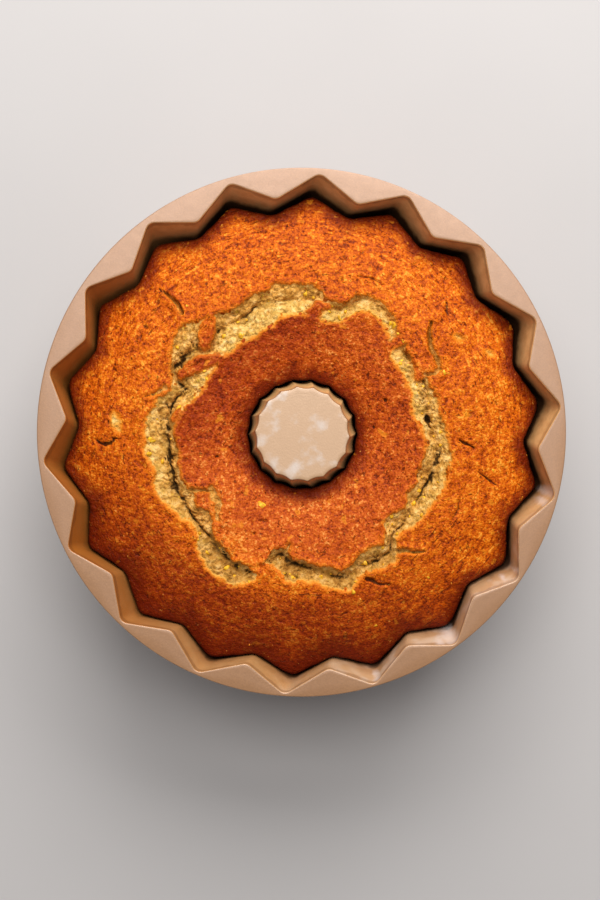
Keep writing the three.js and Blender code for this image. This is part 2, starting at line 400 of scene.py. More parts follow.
# ------------------------------------------------------------------ the cake's baked top
# The split round the crest: bearing, outer edge, inner edge, in units of a 0.4855 mm step.
U = 0.4855
SPLIT = np.array([
    (0, 148, 117), (5, 147, 117), (8, 143, 116), (10, 136, 112), (15, 134, 113), (20, 140, 117), (22, 149, 122),
    (25, 152, 132), (30, 153, 137), (35, 151, 135), (40, 147, 132), (43, 141, 128), (47, 138, 122), (50, 137, 116),
    (55, 133, 115), (60, 133, 117), (65, 138, 115), (70, 137, 116), (75, 140, 114), (80, 140, 112), (85, 142, 117),
    (90, 145, 121), (95, 148, 125), (100, 154, 125), (105, 152, 124), (110, 154, 123), (115, 153, 126),
    (120, 149, 122), (125, 149, 128), (130, 147, 124), (135, 142, 120), (138, 143, 122), (140, 150, 130),
    (145, 161, 137), (150, 158, 134), (155, 155, 135), (160, 161, 142), (163, 167, 143), (165, 165, 142),
    (170, 158, 135), (175, 152, 133), (180, 149, 127), (183, 151, 127), (186, 150, 122), (188, 145, 120),
    (190, 140, 118), (193, 136, 118), (196, 150, 135), (200, 162, 143), (205, 169, 143), (208, 168, 146),
    (210, 168, 143), (215, 166, 138), (220, 160, 136), (223, 156, 131), (225, 147, 126), (228, 145, 124),
    (230, 144, 122), (235, 149, 128), (240, 152, 124), (245, 157, 126), (250, 158, 128), (255, 153, 126),
    (260, 156, 124), (263, 159, 124), (267, 158, 125), (270, 157, 128), (275, 157, 125), (280, 150, 121),
    (283, 149, 118), (285, 142, 113), (290, 138, 109), (295, 145, 107), (300, 152, 107), (305, 158, 107),
    (308, 160, 108), (312, 160, 112), (315, 156, 109), (320, 149, 106), (325, 145, 107), (330, 141, 106),
    (335, 142, 105), (340, 146, 108), (345, 145, 109), (350, 151, 116), (355, 150, 117)], float)
FISSURE = np.array([
    (0, 133), (8, 132), (15, 128), (20, 133), (24, 146), (30, 149), (35, 147), (40, 142), (45, 134), (50, 131),
    (60, 130), (67, 132), (75, 128), (84, 127), (90, 131), (100, 138), (110, 137), (120, 134), (125, 134),
    (132, 137), (138, 137), (145, 149), (150, 149), (156, 147), (165, 150), (172, 141), (180, 134), (186, 129), (190, 124),
    (195, 141), (200, 149), (205, 151), (210, 147), (215, 144), (225, 138), (240, 138), (255, 135), (268, 133),
    (280, 134), (290, 126), (296, 143), (302, 139), (308, 136), (314, 124), (320, 131), (330, 128), (340, 133),
    (350, 134)], float)


def around(table, column, bearing):
    """A closed smooth curve of the bearing through the table's points."""
    x = np.concatenate([table[-3:, 0] - 360, table[:, 0], table[:3, 0] + 360])
    y = np.concatenate([table[-3:, column], table[:, column], table[:3, column]])
    return pchip(x, y, bearing % 360)


def distance(x, y, line):
    """Distance to a line through (bearing, radius in U) points, and the share of the way along it."""
    pts = np.array([polar(r * U, b) for b, r in line])
    best = np.full(x.shape, 1e9)
    share = np.zeros(x.shape)
    seg = np.hypot(*np.diff(pts, axis=0).T)
    total, run = seg.sum(), 0.0
    for (p, q), length in zip(zip(pts[:-1], pts[1:]), seg):
        d = q - p
        t = np.clip(((x - p[0]) * d[0] + (y - p[1]) * d[1]) / (length ** 2), 0, 1)
        dist = np.hypot(x - p[0] - t * d[0], y - p[1] - t * d[1])
        near = dist < best
        best = np.where(near, dist, best)
        share = np.where(near, (run + t * length) / total, share)
        run += length
    return best, share


# pieces of crust standing in the split: centre line, half width at its start, middle and end, in mm
ISLANDS = [
    ([(296, 133), (300, 128), (305, 121), (311, 112)], 2.3, 4.1, 2.2),
    ([(312, 131), (317, 138), (320.5, 144)], 2.7, 3.9, 2.8),
    ([(44, 150), (50, 148), (56, 142), (61, 136), (64, 131)], 3.5, 5.2, 2.6),
    ([(45.5, 121), (46.5, 129), (47, 136)], 1.8, 2.0, 2.4),
    ([(190, 150), (194, 144), (199, 139)], 4.2, 3.4, 3.6),
    ([(6, 120), (8, 127), (12, 128)], 3.2, 2.6, 1.2),
    ([(276, 128), (281, 124)], 1.0, 1.4, 0.8),
]
# thinner splits in the crust: centre line, half width at its start, middle and end, depth, in mm
SPLITS = [
    ([(49.7, 170.5), (52.2, 162.6), (57, 155), (61.8, 155), (65.4, 151), (66.2, 145), (65.2, 137)], 0.4, 1.1, 1.3, 2.2),
    ([(134, 172), (137, 164), (139, 157), (142, 150)], 0.4, 0.9, 1.7, 2.2),
    ([(315.2, 196), (315.6, 188), (315.6, 179), (314.2, 168)], 0.15, 0.55, 0.5, 1.2),
    ([(224, 121), (228, 112), (233, 108), (238, 106)], 1.2, 2.3, 1.7, 1.9),
    ([(236, 106), (240, 116), (242, 124)], 0.9, 0.8, 1.5, 2.2),
    ([(270.8, 184), (273, 186), (275.5, 189)], 1.4, 2.7, 1.5, 0.5),
    ([(283, 160), (285, 150), (288, 143)], 0.5, 0.9, 1.5, 2.0),
    ([(186, 113), (187, 119), (189, 124)], 0.8, 1.3, 1.5, 2.0),
    ([(58, 182), (60, 187)], 1.0, 1.5, 0.9, 0.8),
    ([(66.5, 203), (68, 208)], 0.9, 1.4, 0.8, 0.7),
]
# short dark cracks in the crust, most of them along the ring: the same five things
CRACKS = [
    ([(267.6, 206), (266.7, 200), (266.6, 194), (268.3, 186)], 0.4, 1.0, 0.3, 2.2),
    ([(103, 184), (104, 192), (105, 200)], 0.3, 0.6, 0.3, 1.6),
    ([(49.6, 171), (52, 161), (57, 153), (62, 152)], 0.3, 0.6, 0.4, 2.0),
    ([(315.3, 202), (315.9, 190), (316.2, 178), (315, 168)], 0.3, 0.7, 0.6, 2.4),
    ([(93, 158), (94, 166), (95, 173)], 0.4, 0.6, 0.3, 1.7),
    ([(150, 176), (153, 170), (156, 160)], 0.3, 0.6, 0.8, 1.6),
    ([(56.5, 185), (59, 186), (61.5, 190)], 0.3, 0.7, 0.4, 1.6),
    ([(271, 195), (276, 193)], 0.2, 0.5, 0.3, 1.2),
    ([(48, 197), (50, 190), (52.5, 187)], 0.4, 0.8, 0.4, 1.4),
    ([(20, 166), (25, 170), (29, 168)], 0.2, 0.5, 0.2, 1.2),
    ([(341, 179), (346, 176), (351, 179)], 0.2, 0.5, 0.2, 1.2),
    ([(298, 190), (302, 186), (305, 187)], 0.2, 0.6, 0.2, 1.3),
    ([(112, 171), (116, 175), (120, 174)], 0.2, 0.5, 0.2, 1.2),
    ([(215, 184), (221, 186)], 0.2, 0.5, 0.2, 1.0),
    ([(200, 96), (206, 99)], 0.2, 0.5, 0.2, 1.0),
    ([(317, 93), (322, 97)], 0.2, 0.5, 0.2, 1.0),
    ([(80, 197), (84, 200), (87, 199)], 0.2, 0.5, 0.2, 1.2),
]
# small dark holes left by bubbles: bearing, radius in U, half width and depth in mm
PITS = [(69, 90, 0.9, 1.8), (86, 73, 0.8, 1.5), (19, 190, 1.0, 1.2), (304, 190, 1.0, 1.3), (254, 88, 0.8, 1.4),
        (233, 205, 0.9, 1.2), (84, 127, 1.7, 3.0), (142, 98, 0.6, 1.0), (345, 172, 0.8, 1.0), (118, 100, 0.7, 1.2),
        (327, 205, 0.8, 1.1), (205, 112, 0.7, 1.1), (265, 71, 0.7, 1.2), (15, 158, 0.8, 1.0), (282, 95, 0.6, 1.0)]


def top_surface(x, y):
    """z of the baked top at x, y, how far each point is inside the split (negative on crust), and its depth there, made
    greater in cracks, pits and crevices so that the material paints shade in them.
    """
    cx, cy = x - AX[0], y - AX[1]
    rc = np.hypot(cx, cy)
    r = np.hypot(x, y)
    bearing = np.degrees(np.arctan2(x, y)) % 360

    dome = H - pchip(DOME[:, 0], DOME[:, 1], rc)
    # slow unevenness of the rise
    dome = dome + 0.9 * fbm(x, y, 46, 2, 3) + 0.45 * fbm(x, y, 17, 2, 8) * smooth(rc, 24, 34)

    ragged = 0.9 * perlin(x, y, 4.6, 11) + 0.75 * perlin(x, y, 2.2, 12) + 0.45 * perlin(x, y, 1.15, 13)
    ro = around(SPLIT, 1, bearing) * U + 0.85 * ragged
    ri = around(SPLIT, 2, bearing) * U + 0.85 * (0.9 * perlin(x, y, 4.2, 21) + 0.7 * perlin(x, y, 1.9, 22) + 0.4 * perlin(x, y, 1.1, 23))
    rf = around(FISSURE, 1, bearing) * U + 0.9 * perlin(x, y, 5.0, 31) + 0.5 * perlin(x, y, 2.0, 32)
    rf = np.clip(rf, ri + 1.2, ro - 0.9)

    s = np.minimum(ro - r, r - ri)
    # one side of the tear is stretched into a gentle golden slope, the other hangs over it as a lip
    north = np.cos(np.radians(bearing - 8)) + 0.35 * perlin(x, y, 16, 35)
    local = np.exp(-((bearing - 150) / 9) ** 2)
    gentle = np.where(r < rf, 0.62 + 0.48 * north + 0.5 * local, 0.64 - 0.26 * north - 0.3 * local)
    gentle = np.clip(gentle, 0.05, 1.0)
    up = np.where(r >= rf, (ro - r) / np.maximum(ro - rf, 0.3), (r - ri) / np.maximum(rf - ri, 0.3))
    up = np.clip(up, 0, 1)
    width = np.clip((ro - ri) / 12.0, 0.45, 1.25)
    deep = (4.1 + 1.0 * fbm(x, y, 22, 2, 41) - 1.2 * north) * width
    drop = 0.40 * (1 - gentle) + 0.05 * gentle
    depth = deep * (drop * smooth(s, -0.1, 0.8) + (1 - drop) * up ** (0.9 + 0.45 * gentle))
    depth = depth + 2.6 * np.exp(-((r - rf) / 0.55) ** 2) * smooth(s, 0.5, 1.6) * smooth(perlin(x, y, 10, 43), -0.35, 0.35)
    # crevices and ridges along the tear, where the crumb pulled apart in strands
    q = (r - 0.5 * (ro + ri)) / 2.5 + 1.15 * perlin(x, y, 6.5, 141) + 0.45 * perlin(x, y, 2.6, 142)
    q = q - np.floor(q)
    strand = np.exp(-((q - 0.5) / 0.13) ** 2) * smooth(perlin(x, y, 5.5, 143), -0.05, 0.45) * smooth(s, 0.2, 1.3)
    depth = depth + 0.55 * (0.5 - np.abs(2 * q - 1)) * smooth(s, 0.3, 1.6)
    depth = np.where(s > 0, depth, 0.0)
    # scraps of crust left on the slopes
    scrap = smooth(perlin(x, y, 3.3, 45) + 0.4 * perlin(x, y, 1.5, 46), 0.42, 0.75) * smooth(s, 3.4, 1.2)
    s = np.where(s > 0, s - 2.6 * scrap, s)

    for line, w0, w1, w2 in ISLANDS:
        d, t = distance(x, y, line)
        w = np.where(t < 0.5, w0 + (w1 - w0) * 2 * t, w1 + (w2 - w1) * (2 * t - 1))
        gap = d - w + 0.7 * ragged
        inside = smooth(gap, 1.3, -0.2)
        depth = depth * (1 - inside) + 0.5 * inside * (s > 0)
        gentle = np.where(gap < 1.6, np.minimum(gentle, 0.35), gentle)
        s = np.minimum(s, gap)
    shade = np.zeros_like(x)
    for line, w0, w1, w2, dp in SPLITS:
        d, t = distance(x, y, line)
        w = np.where(t < 0.5, w0 + (w1 - w0) * 2 * t, w1 + (w2 - w1) * (2 * t - 1))
        own = w * (1 + 0.5 * perlin(x, y, 2.4, 51)) - d + 0.25 * perlin(x, y, 1.3, 52)
        depth = np.maximum(depth, dp * smooth(own, -0.25, np.maximum(w, 0.4)))
        if dp > 1:
            shade = np.maximum(shade, 1.5 * smooth(own, 0.1, 0.9))
        gentle = np.where((own > -1.6) & (s < 0.4), 0.9 if dp < 1 else 0.35, gentle)
        s = np.maximum(s, own)
    hole = np.zeros_like(x)
    for line, w0, w1, w2, dp in CRACKS:
        d, t = distance(x + 0.5 * perlin(x, y, 3.0, 53), y + 0.5 * perlin(x, y, 3.0, 54), line)
        w = np.where(t < 0.5, w0 + (w1 - w0) * 2 * t, w1 + (w2 - w1) * (2 * t - 1))
        hole = np.maximum(hole, dp * smooth(w * (1 + 0.4 * perlin(x, y, 2.2, 55)) - d, -0.35, 0.3))
    for b, rr, w, dp in PITS:
        px, py = polar(rr * U, b)
        d = np.hypot(x - px, y - py) + 0.3 * perlin(x, y, 1.4, 61)
        hole = np.maximum(hole, dp * smooth(d, w * 1.5, w * 0.4))

    crumb = smooth(s, -0.1, 0.9)
    # lifted, rolled lips of crust beside the split
    lip = np.exp(-((s + 1.5) / 1.7) ** 2) * (1 - crumb)
    # torn crumb: lumps between soft ridges, and fine grain
    f1, f2, _ = cells(x + 0.8 * perlin(x, y, 3, 71), y + 0.8 * perlin(x, y, 3, 72), 2.9, 73)
    g1, g2, _ = cells(x, y, 1.35, 77)
    k1, k2, _ = cells(x + 1.6 * perlin(x, y, 5, 74), y + 1.6 * perlin(x, y, 5, 75), 5.4, 76)
    crease = np.exp(-((k2 - k1) / 0.10) ** 2) * smooth(perlin(x, y, 9, 78), -0.35, 0.35)
    lumps = 1.35 * (0.55 - f1) + 0.35 * (0.5 - g1) + 0.5 * fbm(x, y, 6.5, 2, 81) - 0.9 * crease - 1.1 * strand
    # crust: soft blisters and fine wrinkles
    b1, b2, pick = cells(x + 0.9 * perlin(x, y, 5, 91), y + 0.9 * perlin(x, y, 5, 92), 4.4, 93)
    blister = 0.34 * (0.5 - b1) + 0.22 * fbm(x, y, 3.4, 2, 95)
    z = dome - depth + crumb * lumps * smooth(s, 0.0, 1.8) + (1 - crumb) * blister + (0.95 - 0.8 * gentle) * lip - hole
    return z, s, depth + 1.6 * hole + shade + crumb * (1.4 * crease + (4.6 - 3.0 * gentle) * strand), gentle


def make_cake():
    fine, coarse = 864, 432
    gap_top, gap_low = 1.9, 0.4
    rings, extra = [], []

    def bearings(n):
        return 360.0 * np.arange(n) / n

    def side_ring(s_at, n, gap):
        a, b, z, turn = along(np.array(s_at))
        nr, nz = normal_at(np.array(s_at))
        t = smooth(s_at, ARC[5], ARC[9])
        fa, fb = 0.86 * (1 - t) + 0.10 * t, 0.07 * (1 - t) + 0.10 * t
        rad = ring_radius(a - nr * gap, b - nr * gap, turn, bearings(n), fa, fb)
        p = polar(rad, bearings(n)).T + AX
        return np.column_stack([p, np.full(n, z - nz * gap)])

    def s_of_depth(d, wall):
        lo, hi = (FLOOR_S, ARC[-1]) if wall else (0.0, FLOOR_S)
        for _ in range(40):
            mid = (lo + hi) / 2
            z = along(np.array(mid))[2]
            if (z > H - d) == wall:
                hi = mid
            else:
                lo = mid
        return (lo + hi) / 2

    # inner edge of the top, at the tube, and outer edge, at the wall
    def edge(n, wall):
        if wall:
            a, b, turn = 121.1 - 0.35 - gap_top, 111.0 - gap_top, wall_turn(17.5)
            rad = ring_radius(a, b, turn, bearings(n), 0.17, 0.13)
            # the shrunken top lies a little to one side of the pan
            rad = rad - 1.0 * np.cos(np.radians(bearings(n))) - 0.45 * np.sin(np.radians(bearings(n)))
            # the cake has drawn back a little unevenly
            x, y = polar(rad, bearings(n)) + AX[:, None]
            return rad - 0.45 * smooth(perlin(x, y, 9, 101), -0.2, 0.9) - 0.25 * smooth(perlin(x, y, 3, 102), 0.0, 0.9)
        rad = ring_radius(24.9 + 1.15, 26.2 + 1.0, tube_turn(14), bearings(n), 0.86, 0.25)
        x, y = polar(rad, bearings(n)) + AX[:, None]
        return rad + 0.35 * smooth(perlin(x, y, 5, 103), -0.2, 0.9)

    def add_top(n, radius, roll=0.0):
        x, y = polar(radius, bearings(n)) + AX[:, None]
        z, s, depth, gentle = top_surface(x, y)
        rings.append(np.column_stack([x, y, z - roll]))
        rc = np.hypot(x - AX[0], y - AX[1])
        to_wall = edge(n, True) - rc
        to_tube = rc - edge(n, False)
        extra.append((s, depth, np.minimum(to_wall, to_tube), gentle))

    def add_side(ring, dark):
        rings.append(ring)
        n = len(ring)
        extra.append((np.full(n, -4.0), np.zeros(n), np.full(n, dark), np.zeros(n)))

    # up the tube's side
    for d in (88, 70, 48, 30, 22):
        add_side(side_ring(s_of_depth(d, False), coarse, gap_low + 0.5 * (d < 40)), -1.0)
    inner = edge(coarse, False)
    x, y = polar(inner, bearings(coarse)) + AX[:, None]
    z_in = top_surface(x, y)[0]
    for drop, back in ((4.0, 0.0), (1.9, -0.05), (0.75, 0.1)):
        ring = np.column_stack([*(polar(inner + back, bearings(coarse)) + AX[:, None]), z_in - drop])
        add_side(ring, -0.5)
    # the top, from the tube out to the wall
    for k in range(34):
        t = k / 33.0
        add_top(coarse, inner + 0.45 + (49.0 - inner - 0.45) * t, 0.22 if k == 0 else 0.0)
    n_mid = 64
    for k in range(n_mid):
        add_top(fine, np.full(fine, 49.35 + (84.4 - 49.35) * k / (n_mid - 1)))
    outer = edge(fine, True)
    n_out = 24
    for k in range(1, n_out + 1):
        t = (k / n_out)
        t = t * (1.12 - 0.12 * t)
        add_top(fine, 84.4 + (outer - 0.6 - 84.4) * t, 0.25 if k == n_out else 0.0)
    x, y = polar(outer, bearings(fine)) + AX[:, None]
    z_out = top_surface(x, y)[0]
    for drop, back in ((0.9, 0.0), (2.2, 0.05)):
        ring = np.column_stack([*(polar(outer + back, bearings(fine)) + AX[:, None]), z_out - drop])
        add_side(ring, -0.5)
    outer_c = edge(coarse, True)
    x, y = polar(outer_c, bearings(coarse)) + AX[:, None]
    z_c = top_surface(x, y)[0]
    add_side(np.column_stack([*(polar(outer_c - 0.3, bearings(coarse)) + AX[:, None]), z_c - 5.0]), -0.8)
    # down the wall and over the floor
    for d in (36, 50, 64, 76, 86):
        add_side(side_ring(s_of_depth(d, True), coarse, gap_low), -1.0)
    add_side(side_ring(FLOOR_S + 5.5, coarse, gap_low), -1.0)
    add_side(side_ring(FLOOR_S - 5.5, coarse, gap_low), -1.0)

    points, faces = skin(rings, True)
    s = np.concatenate([e[0] for e in extra])
    depth = np.concatenate([e[1] for e in extra])
    edge_d = np.concatenate([e[2] for e in extra])
    gentle = np.concatenate([e[3] for e in extra])
    print("cake triangles", len(faces))
    return mesh_object("cake_body", points, faces,
                       {"split": np.clip(s, -5, 8), "depth": depth, "edge": np.clip(edge_d, -2, 20), "gentle": gentle})


# ------------------------------------------------------------------ chopped pistachio that shows at the surface
NUTS = [(209, 83, 2.9), (101, 196, 2.0), (40, 141, 2.7), (150, 177, 1.7), (162, 168, 1.6), (321, 124, 2.0), (281, 125, 1.7),
        (67, 153, 1.8), (139, 193, 1.3), (159, 208, 1.2), (300, 108, 1.5), (95, 140, 1.6), (267, 150, 1.8), (262, 154, 1.9),
        (275, 146, 1.5), (20, 128, 1.2), (118, 140, 1.5), (110, 146, 1.3), (48, 137, 1.4), (205, 160, 1.4), (318, 170, 1.2)]


def make_nuts():
    rng = np.random.default_rng(7)
    spots = [(b, r * U, size * 1.15) for b, r, size in NUTS]
    for _ in range(56):                                  # in the torn crumb
        b = rng.uniform(0, 360)
        ro, ri = around(SPLIT, 1, np.array([b]))[0], around(SPLIT, 2, np.array([b]))[0]
        spots.append((b, (ri + (ro - ri) * rng.uniform(0.08, 0.92)) * U, rng.uniform(0.7, 1.9)))
    for _ in range(70):                                  # just under the crust
        r = math.sqrt(rng.uniform(30 ** 2, 110 ** 2))
        spots.append((rng.uniform(0, 360), r, rng.uniform(0.6, 1.2)))
    # one chunk: a ball, twice divided
    base = bpy.data.meshes.new("chunk")
    import bmesh
    bm = bmesh.new()
    bmesh.ops.create_icosphere(bm, subdivisions=2, radius=1.0)
    verts = np.array([v.co[:] for v in bm.verts])
    tris = np.array([[v.index for v in f.verts] for f in bm.faces])
    bm.free()
    bpy.data.meshes.remove(base)
    points, faces, tint = [], [], []
    xs = np.array([polar(r, b)[0] for b, r, _ in spots])
    ys = np.array([polar(r, b)[1] for b, r, _ in spots])
    zs, ss, _, _ = top_surface(xs, ys)
    for i, (b, r, size) in enumerate(spots):
        v = verts.copy()
        # chopped faces: flatten the ball against a few random planes
        for _ in range(7):
            n = rng.normal(size=3)
            n /= np.linalg.norm(n)
            d = v @ n
            cut = rng.uniform(0.35, 0.75)
            v = v - np.outer(np.maximum(d - cut, 0) * 0.92, n)
        v = v * rng.uniform(0.75, 1.25, 3) * np.array([1.15, 0.95, 0.7])
        a = rng.uniform(0, 2 * np.pi)
        rot = np.array([[math.cos(a), -math.sin(a), 0], [math.sin(a), math.cos(a), 0], [0, 0, 1]])
        v = v @ rot.T * size * 0.75
        crust = ss[i] < 0.2
        sink = size * (0.38 if crust and i >= len(NUTS) else 0.3 if crust else 0.12)
        v = v + np.array([xs[i], ys[i], zs[i] - sink])
        faces.append(tris + len(points) * len(verts))
        points.append(v)
        tint.append(np.full(len(verts), (0.75 + 0.25 * rng.random()) if crust and i >= len(NUTS) else rng.uniform(0.0, 0.5)))
    return mesh_object("pistachio_bits", np.concatenate(points), np.concatenate(faces), {"tint": np.concatenate(tint)}, smooth_shade=True)


# ------------------------------------------------------------------ materials
class Tree:
    """A short way to write shader nodes."""

    def __init__(self, name):
        self.mat = bpy.data.materials.new(name)
        self.mat.use_nodes = True
        self.nt = self.mat.node_tree
        self.nt.nodes.clear()
        self.out = self.nt.nodes.new("ShaderNodeOutputMaterial")
        self.bsdf = self.nt.nodes.new("ShaderNodeBsdfPrincipled")
        self.nt.links.new(self.bsdf.outputs[0], self.out.inputs[0])
        self.coord = self.nt.nodes.new("ShaderNodeTexCoord").outputs["Object"]

    def put(self, value, socket):
        if isinstance(value, (int, float)):
            socket.default_value = value
        elif isinstance(value, (tuple, list)):
            socket.default_value = (*value, 1.0) if len(value) == 3 and len(socket.default_value) == 4 else value
        else:
            self.nt.links.new(value, socket)

    def set(self, **values):
        for key, value in values.items():
            self.put(value, self.bsdf.inputs[key.replace("_", " ")])

    def attr(self, name):
        n = self.nt.nodes.new("ShaderNodeAttribute")
        n.attribute_name = name
        return n.outputs["Fac"]

    def math(self, op, a, b=0.0, c=0.0, clamp=False):
        n = self.nt.nodes.new("ShaderNodeMath")
        n.operation = op
        n.use_clamp = clamp
        self.put(a, n.inputs[0])
        self.put(b, n.inputs[1])
        self.put(c, n.inputs[2])
        return n.outputs[0]

    def range(self, value, a, b, lo=0.0, hi=1.0, kind="SMOOTHSTEP"):
        n = self.nt.nodes.new("ShaderNodeMapRange")
        n.interpolation_type = kind
        self.put(value, n.inputs["Value"])
        for key, v in (("From Min", a), ("From Max", b), ("To Min", lo), ("To Max", hi)):
            self.put(v, n.inputs[key])
        return n.outputs[0]

    def mix(self, fac, a, b, blend="MIX"):
        n = self.nt.nodes.new("ShaderNodeMix")
        n.data_type = "RGBA"
        n.blend_type = blend
        self.put(fac, n.inputs[0])
        self.put(a, n.inputs[6])
        self.put(b, n.inputs[7])
        return n.outputs[2]

    def noise(self, size_mm, detail=2.0, rough=0.5, vector=None, distortion=0.0, seed=0.0):
        n = self.nt.nodes.new("ShaderNodeTexNoise")
        n.noise_dimensions = "3D"
        v = vector or self.coord
        if seed:
            m = self.nt.nodes.new("ShaderNodeVectorMath")
            m.operation = "ADD"
            self.put(v, m.inputs[0])
            m.inputs[1].default_value = (seed * 1.37, -seed * 0.71, seed * 0.39)
            v = m.outputs[0]
        self.put(v, n.inputs["Vector"])
        n.inputs["Scale"].default_value = 1000.0 / size_mm
        n.inputs["Detail"].default_value = detail
        n.inputs["Roughness"].default_value = rough
        n.inputs["Distortion"].default_value = distortion
        return n.outputs["Fac"]

    def voronoi(self, size_mm, feature="F1", vector=None, random=1.0):
        n = self.nt.nodes.new("ShaderNodeTexVoronoi")
        n.feature = feature
        self.put(vector or self.coord, n.inputs["Vector"])
        n.inputs["Scale"].default_value = 1000.0 / size_mm
        n.inputs["Randomness"].default_value = random
        return n

    def stretched(self, tangential, radial):
        """Coordinates that run round the axis and out from it, so that noise on them lies along the ring. In mm-like units."""
        sep = self.nt.nodes.new("ShaderNodeSeparateXYZ")
        self.put(self.coord, sep.inputs[0])
        x, y, z = sep.outputs
        rad = self.math("SQRT", self.math("ADD", self.math("MULTIPLY", x, x), self.math("MULTIPLY", y, y)))
        com = self.nt.nodes.new("ShaderNodeCombineXYZ")
        self.put(self.math("MULTIPLY", self.math("DIVIDE", x, rad), 0.075 / tangential), com.inputs[0])
        self.put(self.math("MULTIPLY", self.math("DIVIDE", y, rad), 0.075 / tangential), com.inputs[1])
        self.put(self.math("MULTIPLY", self.math("SUBTRACT", rad, z), 1.0 / radial), com.inputs[2])
        return com.outputs[0]

    def bump(self, height, distance_mm, normal=None, strength=1.0):
        n = self.nt.nodes.new("ShaderNodeBump")
        n.inputs["Strength"].default_value = strength
        n.inputs["Distance"].default_value = distance_mm * 0.001
        self.put(height, n.inputs["Height"])
        if normal is not None:
            self.put(normal, n.inputs["Normal"])
        return n.outputs[0]

    def ramp(self, fac, stops):
        n = self.nt.nodes.new("ShaderNodeValToRGB")
        el = n.color_ramp.elements
        while len(el) < len(stops):
            el.new(0.5)
        for e, (pos, col) in zip(el, stops):
            e.position = pos
            e.color = (*col, 1.0)
        self.put(fac, n.inputs[0])
        return n.outputs[0]


def srgb(r, g, b):
    """Linear colour from 0 to 255 display values."""
    def f(v):
        v = v / 255.0
        return v / 12.92 if v <= 0.04045 else ((v + 0.055) / 1.055) ** 2.4
    return (f(r), f(g), f(b))


